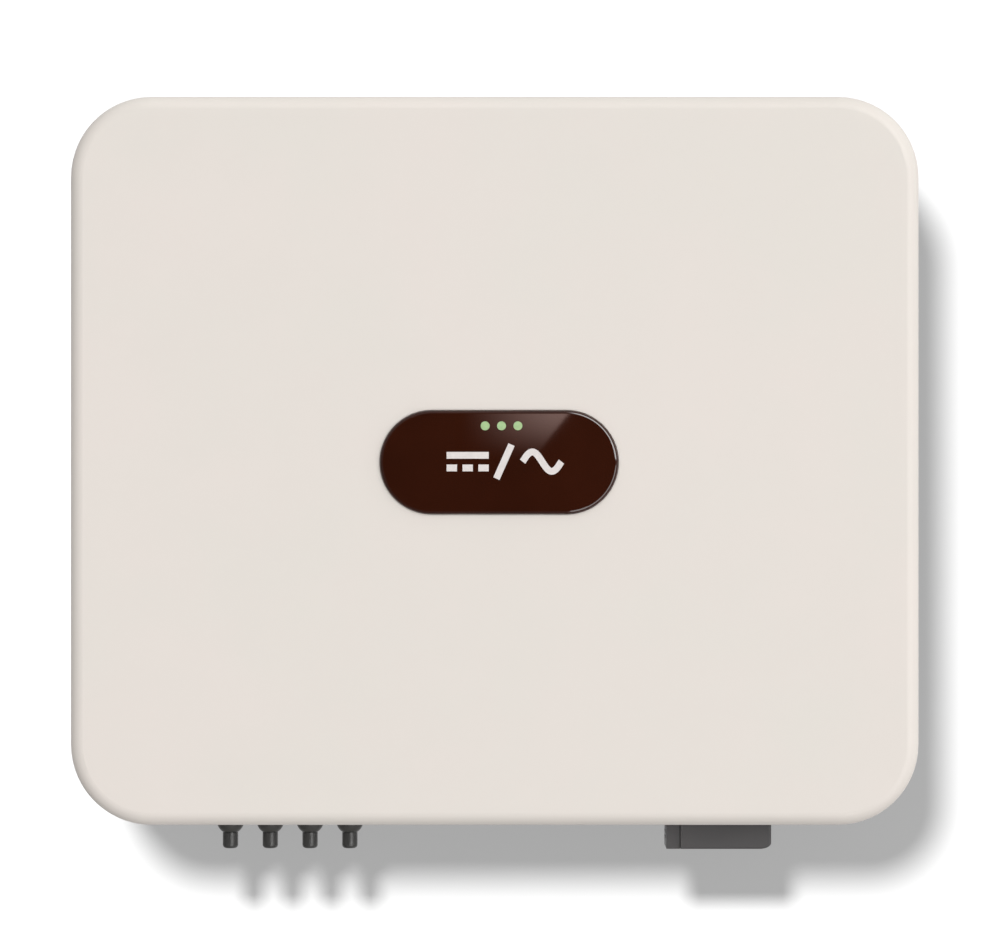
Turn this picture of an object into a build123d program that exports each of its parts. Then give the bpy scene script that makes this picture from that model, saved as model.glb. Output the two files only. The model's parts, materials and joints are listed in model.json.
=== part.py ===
from build123d import *
import os
from math import pi, sin

# A wall-hung string inverter: a pale moulded cover over a sealed die-cast tub, a finned heat
# sink behind it, a hanger rail that hooks on a steel wall bracket, and a row of terminals below.
#
# Frame, in millimetres: X to the right and Z up as seen by someone facing the cover, Y into the
# wall. The wall is the plane Y = 0, and the origin is the middle of the bracket's four bolt holes.
# "stand" means a distance in front of the wall, so a stand of 60 is Y = -60.

# ---- driving dimensions: the whole ----
body_width = 525.0
cover_height = 451.0
overall_depth = 146.5
centre_drop = 110.0         # from the bracket's bolts down to the middle of the cover
terminal_drop = 39.2        # from the connector panel down to the lowest point of the terminals

# ---- cover ----
corner_radius = 50.0
cover_edge_radius = 8.0
cover_wall = 2.5
cover_depth = 42.0
cover_post_gap = 1.0        # between the cover's posts and the tub's flange
cover_post_width = 10.0
cover_post_length = 34.0
cover_screw_depth = 12.0    # into the posts
post_root = 1.25            # reach of the posts into the cover's wall
side_screw_spacing = 140.0
top_screw_spacing = 260.0
ear_thickness = 4.0
ear_width = 14.0
ear_reach = 3.5             # of an ear past its screw

# ---- display plate, lights and emblem ----
plate_width = 147.7
plate_height = 64.4
plate_offset_x = 2.7        # the plate sits a little right of the cover's middle, and below it
plate_offset_z = -0.9
plate_proud = 2.4
plate_sunk = 1.5
plate_edge_radius = 2.2
plate_gap = 0.2
plate_pad = 4.0             # reach of the pad behind the plate, all round
light_radius = 2.75
light_pitch = 10.1
light_offset_x = 4.2        # middle light, from the cover's middle
light_offset_z = 21.6
light_gap = 0.05
pipe_radius = 2.0
pipe_gap = 0.2
emblem_offset_x = 5.7
emblem_offset_z = -0.5
emblem_height = 23.0
emblem_lean = -24.0         # of the slash, in degrees
emblem_stroke = 4.2
emblem_bar = 26.0
emblem_bar_rise = 3.9       # of the bar above the emblem's middle, and of the dashes below it
emblem_dash = 6.4
emblem_wave = 24.0
emblem_swing = 6.0
emblem_gap = 9.4            # from the slash to the bars and to the wave
emblem_depth = 0.4

# ---- tub, lid and heat sink ----
tub_inset = 20.5            # from the cover's outside to the tub's outside, all round
tub_wall = 4.0
tub_rear = 58.0             # stand of the tub's rear face
tub_front = 132.0           # stand of the tub's front rim
flange_reach = 8.0
flange_thickness = 5.0
gasket_thickness = 1.0
gasket_width = 5.0
gasket_inset = 6.5          # from the flange's edge
lid_thickness = 2.0
sink_side_margin = 20.0     # from the tub's edges to the heat sink's base
sink_top_margin = 13.0
sink_bottom_margin = 33.0
sink_base = 6.0
sink_seal = 1.0
sink_margin = 14.0          # from the base's edge to the window in the tub's rear wall
sink_screw_inset = 5.0      # from the base's edge to its screws
sink_corner = 8.0
sink_boss_radius = 5.5
sink_boss_height = 6.0
rear_edge_radius = 5.0
side_rib_count = 6
side_rib_pitch = 52.0
side_rib_proud = 2.0
side_rib_thickness = 3.0
fin_tip = 20.0              # stand of the fins' tips
fin_end_margin = 12.0       # from the base's top and bottom edges to the fins' ends
fin_thickness = 2.0
fin_pitch = 10.0
end_fin_thickness = 8.0
end_fin_margin = 22.0       # from the base's side edges to the middle of the end fins

# ---- wall bracket, hanger rail and lower rail ----
sheet = 2.5
bracket_width = 360.0
bracket_height = 90.0
bracket_corner = 4.0
bolt_spacing_x = 160.0
bolt_spacing_z = 50.0
bolt_hole_radius = 3.5
hook_x = 145.0
hook_width = 50.0
hook_side_room = 2.0        # the bracket's hooks are this much wider at each end
hook_z = 10.0               # underside of the bracket's hooks
hook_stand = 14.0
hook_lip = 16.0             # height of the bracket's lip above its web
hang_gap = 0.2
rail_lip_stand = 6.0
rail_lip_gap = 1.5          # from the rail's lip down to the bracket's web
rail_low_z = -38.0
ear_height = 34.0
ear_stand = 16.0
ear_gap = 0.5
rail_ear_stand = 3.0
lock_stand = 9.0
lock_z = -25.0
lock_radius = 3.0
lock_gap = 0.3
lower_rail_z = -235.0
lower_rail_height = 26.0
bumper_x = 150.0
bumper_radius = 11.0
bumper_edge_radius = 2.0
lock_length = 9.0
rail_screw_depth = 12.0     # into the end fins
rail_screw_low_z = -20.0
rail_screw_high_z = 12.0

# ---- terminals below the connector panel ----
terminal_stand = 80.0       # stand of the middle of the terminals' row
thread_gap = 0.2            # round a threaded body in its hole in the tub
seal_thickness = 1.0
pv_first_x = -166.8
pv_pitch = 25.1
pv_body_radius = 8.25
pv_body_length = 28.8
pv_shoulder = 4.5           # height of the tapered shoulder at the end of the body
pv_shoulder_bulge = 0.5
pv_thread_radius = 7.9
pv_thread_length = 12.0
pv_flange_radius = 10.0
pv_flange_thickness = 3.0
pv_nut_radius = 11.5
pv_nut_height = 5.0
cap_radius = 4.9
cap_wall = 1.4
cap_end = 2.5
cap_edge_radius = 2.3
nose_gap = 0.5              # from the socket's nose to the inside of the cap's end
contact_radius = 1.7
contact_gap = 0.3
contact_rise = 20.0         # of the contacts above the connector panel, inside the tub
port_gap = 0.3              # between a pull-off cap and what it covers
switch_x = -40.0
switch_plate_radius = 24.0
switch_plate_thickness = 1.5
knob_radius = 20.0
knob_disc = 6.0
knob_bar = 10.0
knob_bar_height = 11.0
knob_edge_radius = 1.5
shaft_radius = 4.0
shaft_gap = 0.08
knob_gap = 0.05             # from the shaft to the knob
shaft_hold = 9.0            # length of the shaft inside the knob
switch_body_width = 44.0
switch_body_depth = 34.0
switch_body_height = 42.0
com_x = 18.0
com_radius = 8.5
dongle_x = 68.0
dongle_width = 22.0
dongle_depth = 10.0
port_flange = 4.0           # reach of a small port's flange round its nose
port_flange_thickness = 3.0
port_nose = 14.0
port_wall = 2.0
port_cap_drop = 20.0
port_cap_wall = 3.0
port_cap_edge = 1.2
port_block_gap = 1.5        # from a small port's bore to its contact block
ac_drop = 38.4              # from the connector panel down to the latch's and the cap's undersides
ac_left_x = 107.6
ac_latch_width = 8.6
ac_latch_depth = 35.0
ac_latch_edge_radius = 0.4
ac_pin_radius = 1.5
ac_pin_gap = 0.02
ac_lug = 3.0
latch_groove_radius = 0.8
latch_groove_pitch = 3.6
latch_groove_end = 3.0
latch_groove_drop = 18.0    # from the pivot to the middle of the grooves
ac_cap_width = 56.9
ac_cap_depth = 38.0
ac_cap_corner_x = 7.3       # half axes of the cap's elliptical lower right corner
ac_cap_corner_z = 3.8
ac_cap_edge_radius = 1.4
ac_cap_wall = 2.3
ac_cap_floor = 9.0
ac_flange_thickness = 3.0
ac_flange_reach = 9.5
ac_flange_lip = 2.0         # reach of the flange in front of the cap, and behind it
ac_screw_inset = 4.5
ac_socket_wall = 2.5
ac_socket_drop = 24.0
ac_socket_floor = 2.0
ac_contact_radius = 2.2
ac_contact_drop = 16.0
ac_pin_pitch = 14.0
ac_pin_front = 5.0          # of the row of three pins, in front of the socket's middle
ac_pin_rear = 6.0           # of the row of two, behind it
ac_corner = 3.0
ac_panel_width = 42.0       # of the panel's opening behind the port
ac_panel_depth = 22.0
vent_x = -198.0
vent_radius = 9.0
vent_thread_radius = 5.0
vent_hex = 4.0
vent_dome = 4.0
vent_dome_radius = 7.2
ground_z = -165.0           # lower ground point, from the cover's middle
ground_pitch = 28.0
ground_stand = 78.0
ground_hole_radius = 2.5
ground_hole_depth = 12.0
ground_boss_radius = 8.0
ground_boss_proud = 3.0
ground_washer_radius = 6.5
ground_washer = 1.2
ground_slot = 1.4

# ---- inside ----
board_overlap = 10.0        # of the power board past the window's sides
board_rise = 4.0            # of the power board's middle above the heat sink's
board_thickness = 1.6
board_post_side = 8.0       # from the window's sides to the outer posts
board_post_end = 18.0       # from the board's top and bottom edges to the posts
inner_post_x = 70.0
board_stand = 95.0          # stand of the power board's rear face
board_screw_length = 12.0   # into the posts
post_radius = 4.0
module_width = 64.0
module_height = 46.0
module_depth = 12.0
boost_width, boost_height = 84.0, 58.0
filter_width = 60.0
component_gap = 2.0         # from the inductors and capacitors to what is in front of or behind them
inductor_corner = 4.0
relay_width, relay_height, relay_depth = 28.0, 13.0, 18.0
film_width, film_height, film_depth = 40.0, 16.0, 20.0
component_corner = 1.0
capacitor_radius = 15.0
choke_radius = 22.0
choke_hole = 11.0
choke_depth = 18.0
choke_edge_radius = 4.0
spacer_stud = 4.0
control_stand = 119.0
control_width = 200.0
control_height = 120.0
control_centre_z = 20.0
chip_size = 18.0
chip_height = 1.4
led_stand = 124.0
led_height = 1.0
led_board_width = 70.0
led_board_height = 22.0
header_width = 24.0
header_height = 5.0
lead_radius = 1.6
lead_bend = 7.0
lead_rise = 56.0            # from the contacts' inner ends to where the leads turn to the board

# ---- fasteners ----
screw_gap = 0.1
m3, m4, m5 = 1.5, 2.0, 2.5  # shank radii
head_radius = 1.75          # of a screw's head, as a multiple of its shank radius
head_height = 1.5           # likewise
head_chamfer = 0.15         # as a share of the head's height
socket_radius = 0.95        # of the hexagonal socket in the head, as a multiple of the shank radius
socket_depth = 0.6          # as a share of the head's height

# ---- worked out from the above ----
mid_z = -centre_drop
cover_face = overall_depth - plate_proud
cover_rear = cover_face - cover_depth
panel_z = mid_z - cover_height / 2 + tub_inset
tub_width = body_width - 2 * tub_inset
tub_height = cover_height - 2 * tub_inset
tub_radius = corner_radius - tub_inset
flange_width = tub_width + 2 * flange_reach
flange_height = tub_height + 2 * flange_reach
flange_radius = tub_radius + flange_reach
lid_rear = tub_front + gasket_thickness
lid_front = lid_rear + lid_thickness
sink_front = tub_rear - sink_seal
sink_rear = sink_front - sink_base
sink_width = tub_width - 2 * sink_side_margin
sink_height = tub_height - sink_top_margin - sink_bottom_margin
sink_centre_z = (sink_bottom_margin - sink_top_margin) / 2      # above the cover's middle
fin_height = sink_height - 2 * fin_end_margin
end_fin_x = sink_width / 2 - end_fin_margin
fin_count = 2 * int((end_fin_x - fin_pitch) / fin_pitch) + 1
window_width = sink_width - 2 * sink_margin
window_height = sink_height - 2 * sink_margin
rail_rear = fin_tip - sheet
rail_width = 2 * end_fin_x + end_fin_thickness
web_z = hook_z + sheet + hook_lip + hang_gap
rail_lip_z = hook_z + sheet + rail_lip_gap
rail_ear_x = bracket_width / 2 + ear_gap + sheet / 2
cover_inner_x = body_width / 2 - cover_wall
cover_inner_z = cover_height / 2 - cover_wall
post_x = (cover_inner_x + flange_width / 2 + cover_post_gap) / 2
post_z = (cover_inner_z + flange_height / 2 + cover_post_gap) / 2
post_depth_x = 2 * (cover_inner_x - post_x)
post_depth_z = 2 * (cover_inner_z - post_z)
ear_front = cover_rear + cover_post_gap
side_ear_reach = post_x + ear_reach - tub_width / 2
side_ear_x = (post_x + ear_reach + tub_width / 2) / 2
top_ear_reach = post_z + ear_reach - tub_height / 2
top_ear_z = (post_z + ear_reach + tub_height / 2) / 2
pv_seat = seal_thickness + pv_flange_thickness
cap_top = pv_body_length + port_gap
nose_radius = cap_radius - cap_wall - port_gap
nose_end = terminal_drop - cap_end - nose_gap
latch_x = ac_left_x + ac_latch_width / 2
ac_cap_x = ac_left_x + ac_latch_width + port_gap + ac_cap_width / 2
ac_seat = seal_thickness + ac_flange_thickness
ac_latch_pivot = ac_seat + port_gap + ac_latch_width / 2     # below the connector panel
ac_socket_width = ac_cap_width - 2 * (ac_cap_wall + port_gap)
ac_socket_depth = ac_cap_depth - 2 * (ac_cap_wall + port_gap)
bracket_hook_width = hook_width + 2 * hook_side_room
ac_middle_x = (ac_left_x + ac_cap_x + ac_cap_width / 2) / 2
ac_flange_width = ac_latch_width + port_gap + ac_cap_width + 2 * ac_flange_reach
ac_flange_depth = ac_cap_depth + 2 * ac_flange_lip
board_width = window_width + 2 * board_overlap
board_height = window_height
board_centre_z = sink_centre_z + board_rise
board_front = board_stand + board_thickness


# ---- planes ----
def wall_plane(stand):
    """Parallel to the wall, facing the room, centred on the bracket's bolts."""
    return Plane(origin=(0, -stand, 0), x_dir=(1, 0, 0), z_dir=(0, -1, 0))


def body_plane(stand):
    """Parallel to the wall, facing the room, centred on the cover."""
    return Plane(origin=(0, -stand, mid_z), x_dir=(1, 0, 0), z_dir=(0, -1, 0))


def facing_wall(plane):
    """The same plane seen from behind, so that an extrusion grows towards the wall. Its x is mirrored."""
    return Plane(origin=plane.origin, x_dir=-plane.x_dir, z_dir=-plane.z_dir)


def under_plane(drop):
    """Level, facing down, drop below the connector panel. Its y is the stand."""
    return Plane(origin=(0, 0, panel_z - drop), x_dir=(1, 0, 0), z_dir=(0, 0, -1))


def terminal_plane(x):
    """Upright, through a terminal's axis, with its x out from the axis and its y up from the panel."""
    return Plane(origin=(x, -terminal_stand, panel_z), x_dir=(1, 0, 0), z_dir=(0, -1, 0))


def terminal_axis(x):
    return Axis((x, -terminal_stand, 0), (0, 0, 1))


def side_plane(x):
    """Upright, facing +X. Its x is Y and its y is Z."""
    return Plane(origin=(x, 0, 0), x_dir=(0, 1, 0), z_dir=(1, 0, 0))


def sign_of(value):
    return 1 if value > 0 else -1


# ---- shared point lists ----
def rim_points(width, height, across, up):
    """Points evenly spread along a rectangle's four sides, none in its corners."""
    xs = [width * ((i + 0.5) / across - 0.5) for i in range(across)]
    zs = [height * ((i + 0.5) / up - 0.5) for i in range(up)]
    level = [(x, s * height / 2) for x in xs for s in (-1, 1)]
    return level + [(s * width / 2, z) for z in zs for s in (-1, 1)]


pv_names = ["pv1_positive", "pv1_negative", "pv2_positive", "pv2_negative"]
pv_xs = [pv_first_x + i * pv_pitch for i in range(len(pv_names))]
lid_points = rim_points(flange_width - flange_reach, flange_height - flange_reach, 5, 4)
sink_rim_x, sink_rim_z = sink_width - 2 * sink_screw_inset, sink_height - 2 * sink_screw_inset
sink_points = [(x, z + sink_centre_z) for x, z in rim_points(sink_rim_x, sink_rim_z, 5, 4)]
side_posts = [(s * post_x, i * side_screw_spacing) for s in (-1, 1) for i in (-1, 0, 1)]
top_posts = [(s * top_screw_spacing / 2, post_z) for s in (-1, 1)]
light_points = [(light_offset_x + i * light_pitch, light_offset_z) for i in (-1, 0, 1)]
pv_points = [(x, terminal_stand) for x in pv_xs]
latch_lug_y = ac_latch_depth / 2 + port_gap + ac_lug / 2
ac_pin_points = [(ac_cap_x + i * ac_pin_pitch, terminal_stand + ac_pin_front) for i in (-1, 0, 1)]
ac_pin_points += [(ac_cap_x + i * ac_pin_pitch, terminal_stand - ac_pin_rear) for i in (-0.5, 0.5)]
ac_screw_points = [(ac_middle_x + sx * (ac_flange_width / 2 - ac_screw_inset),
                    terminal_stand + sy * (ac_flange_depth / 2 - ac_screw_inset))
                   for sx in (-1, 1) for sy in (-1, 1)]
ground_points = [(-ground_stand, mid_z + ground_z + i * ground_pitch) for i in (0, 1)]
rail_screw_points = [(s * end_fin_x, z) for s in (-1, 1) for z in (rail_screw_low_z, rail_screw_high_z)]
lower_screw_points = [(s * end_fin_x, lower_rail_z) for s in (-1, 1)]
outer_post_x = window_width / 2 - board_post_side
board_posts = [(x, board_centre_z + s * (board_height / 2 - board_post_end))
               for x in (-outer_post_x, -inner_post_x, inner_post_x, outer_post_x) for s in (-1, 1)]
led_posts = [(light_offset_x + s * (led_board_width / 2 - post_radius), light_offset_z) for s in (-1, 1)]
spacer_points = [(sx * (control_width / 2 - post_radius - 1),
                  control_centre_z + sz * (control_height / 2 - post_radius - 1))
                 for sx in (-1, 1) for sz in (-1, 1)]
chip_points = [(-60, -10), (-60, 40), (-20, -20), (60, 45), (70, -15)]
module_points = [(x, -70) for x in (-110, 0, 110)]
boost_points = [(-145, 0), (-145, 70), (-130, 140)]
filter_points = [(145, z) for z in (0, 68, 136)]
capacitor_points = [(x, z) for x in (-51, -17, 17, 51) for z in (-15, 20, 55, 90, 125)]
relay_points = [(x, z) for x in (100, 135, 170) for z in (-110, -88)]
film_points = [(x, -125) for x in (-40, 10)] + [(-170, 20), (-170, 50)]
choke_points = [(-150, -95), (-95, -95), (40, -75)]


def latch_plane(stand):
    """Upright, parallel to the wall, with its origin on the latch's pivot."""
    return Plane(origin=(latch_x, -stand, panel_z - ac_latch_pivot), x_dir=(1, 0, 0), z_dir=(0, -1, 0))


def write(piece, name):
    """Labels a finished sub-part and writes its STEP file."""
    piece.part.label = name
    export_step(piece.part, f"parts/{name}.step")


def screw_group(plane, points, shank, length):
    """Socket-head screws: heads on the plane, shanks behind it."""
    height = shank * head_height
    with BuildPart() as group:
        with BuildSketch(plane):
            with Locations(*points):
                Circle(shank * head_radius)
        extrude(amount=height)
        tops = group.faces().filter_by(Plane(plane.origin, z_dir=plane.z_dir))
        tops = tops.group_by(Axis(plane.origin, plane.z_dir))[-1]
        chamfer(tops.edges(), height * head_chamfer)
        with BuildSketch(plane):
            with Locations(*points):
                Circle(shank)
        extrude(amount=-length)
        with BuildSketch(plane.offset(height)):
            with Locations(*points):
                RegularPolygon(shank * socket_radius, 6)
        extrude(amount=-height * socket_depth, mode=Mode.SUBTRACT)
    return group


def screws(name, plane, points, shank, length):
    """A node of equal screws."""
    write(screw_group(plane, points, shank, length), name)


# ---- cover and display ----
def make_front_cover():
    with BuildPart() as front_cover:
        with BuildSketch(body_plane(cover_rear)):
            RectangleRounded(body_width, cover_height, corner_radius)
        extrude(amount=cover_depth)
        fillet(front_cover.faces().sort_by(Axis.Y)[0].edges(), cover_edge_radius)
        offset(amount=-cover_wall, openings=front_cover.faces().sort_by(Axis.Y)[-1])
        # posts on the inside of the walls, which the cover screws bite into
        with BuildSketch(body_plane(ear_front)):
            with Locations(*[(x + sign_of(x) * post_root / 2, z) for x, z in side_posts]):
                Rectangle(post_depth_x + post_root, cover_post_width)
            with Locations(*[(x, z + post_root / 2) for x, z in top_posts]):
                Rectangle(cover_post_width, post_depth_z + post_root)
        extrude(amount=cover_post_length)
        with BuildSketch(body_plane(ear_front)):
            with Locations(*side_posts, *top_posts):
                Circle(m3 + screw_gap)
        extrude(amount=cover_screw_depth + screw_gap, mode=Mode.SUBTRACT)
        # a thicker pad behind the display plate, and the recess that seats the plate
        with BuildSketch(body_plane(cover_face - cover_wall)):
            with Locations((plate_offset_x, plate_offset_z)):
                SlotOverall(plate_width + 2 * plate_pad, plate_height + 2 * plate_pad)
        extrude(amount=-plate_sunk)
        with BuildSketch(body_plane(cover_face)):
            with Locations((plate_offset_x, plate_offset_z)):
                SlotOverall(plate_width + 2 * plate_gap, plate_height + 2 * plate_gap)
        extrude(amount=-plate_sunk, mode=Mode.SUBTRACT)
        with BuildSketch(body_plane(cover_face)):
            with Locations(*light_points):
                Circle(light_radius + light_gap)
        extrude(amount=-cover_wall - plate_sunk, mode=Mode.SUBTRACT)
    write(front_cover, "front_cover")


def emblem_sketch():
    """A generic direct-to-alternating-current sign: a bar over dashes, a slash, and one wave."""
    bar_x = emblem_offset_x - emblem_gap - emblem_bar / 2
    wave_x = emblem_offset_x + emblem_gap + emblem_stroke / 2
    wave = [(wave_x + emblem_wave * i / 12, emblem_offset_z + emblem_swing * sin(2 * pi * i / 12))
            for i in range(13)]
    with BuildSketch(body_plane(overall_depth)) as sign:
        with Locations((bar_x, emblem_offset_z + emblem_bar_rise)):
            Rectangle(emblem_bar, emblem_stroke)
        with Locations((bar_x, emblem_offset_z - emblem_bar_rise)):
            with GridLocations((emblem_bar - emblem_dash) / 2, 0, 3, 1):
                Rectangle(emblem_dash, emblem_stroke)
        with Locations(Location((emblem_offset_x, emblem_offset_z), emblem_lean)):
            Rectangle(emblem_stroke, emblem_height)
        with BuildLine():
            Spline(*wave)
        trace(line_width=emblem_stroke)
    return sign.sketch


def make_display():
    sign = emblem_sketch()
    thickness = plate_proud + plate_sunk
    with BuildPart() as display_plate:
        with BuildSketch(body_plane(overall_depth - thickness)):
            with Locations((plate_offset_x, plate_offset_z)):
                SlotOverall(plate_width, plate_height)
        extrude(amount=thickness)
        fillet(display_plate.faces().sort_by(Axis.Y)[0].edges(), plate_edge_radius)
        with BuildSketch(body_plane(overall_depth)):
            with Locations(*light_points):
                Circle(light_radius + light_gap)
        extrude(amount=-thickness, mode=Mode.SUBTRACT)
        extrude(sign, amount=emblem_depth, dir=(0, 1, 0), mode=Mode.SUBTRACT)
    write(display_plate, "display_plate")

    with BuildPart() as emblem:
        extrude(sign, amount=emblem_depth, dir=(0, 1, 0))
    write(emblem, "emblem")

    with BuildPart() as status_lights:
        with BuildSketch(body_plane(overall_depth)):
            with Locations(*light_points):
                Circle(light_radius)
        extrude(amount=-thickness)
    write(status_lights, "status_lights")

    with BuildPart() as light_pipes:
        with BuildSketch(body_plane(led_stand + board_thickness + led_height)):
            with Locations(*light_points):
                Circle(pipe_radius)
        extrude(amount=overall_depth - thickness - led_stand - board_thickness - led_height)
    write(light_pipes, "light_pipes")


# ---- tub, lid and heat sink ----
def make_enclosure():
    with BuildPart() as enclosure:
        with BuildSketch(body_plane(tub_rear)):
            RectangleRounded(tub_width, tub_height, tub_radius)
        extrude(amount=tub_front - tub_rear)
        fillet(enclosure.faces().sort_by(Axis.Y)[-1].edges(), rear_edge_radius)
        with BuildSketch(body_plane(tub_front - flange_thickness)):
            RectangleRounded(flange_width, flange_height, flange_radius)
        extrude(amount=flange_thickness)
        # bosses on the outside, for the ground screws, and ribs that stiffen the side walls
        with BuildSketch(side_plane(tub_width / 2 - tub_wall)):
            with Locations(*ground_points):
                Circle(ground_boss_radius)
        extrude(amount=tub_wall + ground_boss_proud)
        with BuildSketch(body_plane(tub_rear + rear_edge_radius)):
            with GridLocations(tub_width, side_rib_pitch, 2, side_rib_count):
                Rectangle(2 * side_rib_proud, side_rib_thickness)
        extrude(amount=ear_front - ear_thickness - tub_rear - rear_edge_radius)
        with BuildSketch(body_plane(tub_rear + tub_wall)):
            RectangleRounded(tub_width - 2 * tub_wall, tub_height - 2 * tub_wall, tub_radius - tub_wall)
        extrude(amount=tub_front, mode=Mode.SUBTRACT)
        with BuildSketch(body_plane(tub_rear)):
            with Locations((0, sink_centre_z)):
                RectangleRounded(window_width, window_height, sink_corner)
        extrude(amount=tub_wall, mode=Mode.SUBTRACT)
        # bosses on the inside, which keep the screw holes closed
        with BuildSketch(body_plane(tub_rear + tub_wall)):
            with Locations(*sink_points):
                Circle(sink_boss_radius)
        extrude(amount=sink_boss_height)
        with BuildSketch(body_plane(tub_rear)):
            with Locations(*sink_points):
                Circle(m5 + screw_gap)
        extrude(amount=sink_boss_height + tub_wall / 2, mode=Mode.SUBTRACT)
        with BuildSketch(side_plane(tub_width / 2 + ground_boss_proud)):
            with Locations(*ground_points):
                Circle(ground_boss_radius)
        extrude(amount=-ground_hole_depth - ground_boss_proud)
        with BuildSketch(side_plane(tub_width / 2 + ground_boss_proud)):
            with Locations(*ground_points):
                Circle(ground_hole_radius)
        extrude(amount=-ground_hole_depth, mode=Mode.SUBTRACT)
        # ears that the cover screws pass through
        with BuildSketch(body_plane(ear_front - ear_thickness)):
            with Locations(*[(sign_of(x) * side_ear_x, z) for x, z in side_posts]):
                Rectangle(side_ear_reach, ear_width)
            with Locations(*[(x, top_ear_z) for x, z in top_posts]):
                Rectangle(ear_width, top_ear_reach)
        extrude(amount=ear_thickness)
        with BuildSketch(body_plane(ear_front - ear_thickness)):
            with Locations(*side_posts, *top_posts):
                Circle(m3 + screw_gap)
        extrude(amount=ear_thickness, mode=Mode.SUBTRACT)
        with BuildSketch(body_plane(tub_front - flange_thickness)):
            with Locations(*lid_points):
                Circle(m4 + screw_gap)
        extrude(amount=flange_thickness, mode=Mode.SUBTRACT)
        # the connector panel's openings
        with BuildSketch(under_plane(-tub_wall)):
            with Locations(*pv_points):
                Circle(pv_thread_radius + thread_gap)
            with Locations((switch_x, terminal_stand)):
                Circle(shaft_radius + shaft_gap)
            with Locations((com_x, terminal_stand)):
                Circle(com_radius - port_wall)
            with Locations((dongle_x, terminal_stand)):
                Rectangle(dongle_width - 2 * port_wall, dongle_depth - 2 * port_wall)
            with Locations((ac_cap_x, terminal_stand)):
                Rectangle(ac_panel_width, ac_panel_depth)
            with Locations((vent_x, terminal_stand)):
                Circle(vent_thread_radius + thread_gap)
            with Locations(*ac_screw_points):
                Circle(m4 + screw_gap)
        extrude(amount=tub_wall, mode=Mode.SUBTRACT)
    write(enclosure, "enclosure")


def make_lid():
    with BuildPart() as inner_lid:
        with BuildSketch(body_plane(lid_rear)):
            RectangleRounded(flange_width, flange_height, flange_radius)
            with Locations(*lid_points):
                Circle(m4 + screw_gap, mode=Mode.SUBTRACT)
            with Locations(*light_points):
                Circle(pipe_radius + pipe_gap, mode=Mode.SUBTRACT)
        extrude(amount=lid_thickness)
        # pads that carry the light board
        with BuildSketch(body_plane(lid_rear)):
            with Locations(*led_posts):
                Circle(post_radius)
        extrude(amount=led_stand + board_thickness - lid_rear)
    write(inner_lid, "inner_lid")

    outer = flange_width - 2 * gasket_inset
    outer_height = flange_height - 2 * gasket_inset
    with BuildPart() as lid_gasket:
        with BuildSketch(body_plane(tub_front)):
            RectangleRounded(outer, outer_height, flange_radius - gasket_inset)
            RectangleRounded(outer - 2 * gasket_width, outer_height - 2 * gasket_width,
                             flange_radius - gasket_inset - gasket_width, mode=Mode.SUBTRACT)
        extrude(amount=gasket_thickness)
    write(lid_gasket, "lid_gasket")


def make_heat_sink():
    with BuildPart() as heat_sink:
        with BuildSketch(body_plane(sink_rear)):
            with Locations((0, sink_centre_z)):
                RectangleRounded(sink_width, sink_height, sink_corner)
            with Locations(*sink_points):
                Circle(m5 + screw_gap, mode=Mode.SUBTRACT)
        extrude(amount=sink_base)
        with BuildSketch(body_plane(sink_rear)):
            with Locations((0, sink_centre_z)):
                with GridLocations(fin_pitch, 0, fin_count, 1):
                    Rectangle(fin_thickness, fin_height)
                with GridLocations(2 * end_fin_x, 0, 2, 1):
                    Rectangle(end_fin_thickness, fin_height)
        extrude(amount=fin_tip - sink_rear)
        # posts that carry the power board, and pads that cool the power modules
        with BuildSketch(body_plane(sink_front)):
            with Locations(*board_posts):
                Circle(post_radius)
        extrude(amount=board_stand - sink_front)
        with BuildSketch(body_plane(sink_front)):
            with Locations(*module_points):
                Rectangle(module_width, module_height)
        extrude(amount=board_stand - module_depth - sink_front)
        with BuildSketch(body_plane(board_stand)):
            with Locations(*board_posts):
                Circle(m4 + screw_gap)
        extrude(amount=-board_screw_length, mode=Mode.SUBTRACT)
        with BuildSketch(wall_plane(fin_tip)):
            with Locations(*rail_screw_points, *lower_screw_points):
                Circle(m5 + screw_gap)
        extrude(amount=rail_screw_depth, mode=Mode.SUBTRACT)
    write(heat_sink, "heat_sink")

    with BuildPart() as heat_sink_seal:
        with BuildSketch(body_plane(sink_front)):
            with Locations((0, sink_centre_z)):
                RectangleRounded(window_width + 2 * gasket_width, window_height + 2 * gasket_width,
                                 sink_corner + gasket_width)
                RectangleRounded(window_width, window_height, sink_corner, mode=Mode.SUBTRACT)
        extrude(amount=sink_seal)
    write(heat_sink_seal, "heat_sink_seal")


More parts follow.
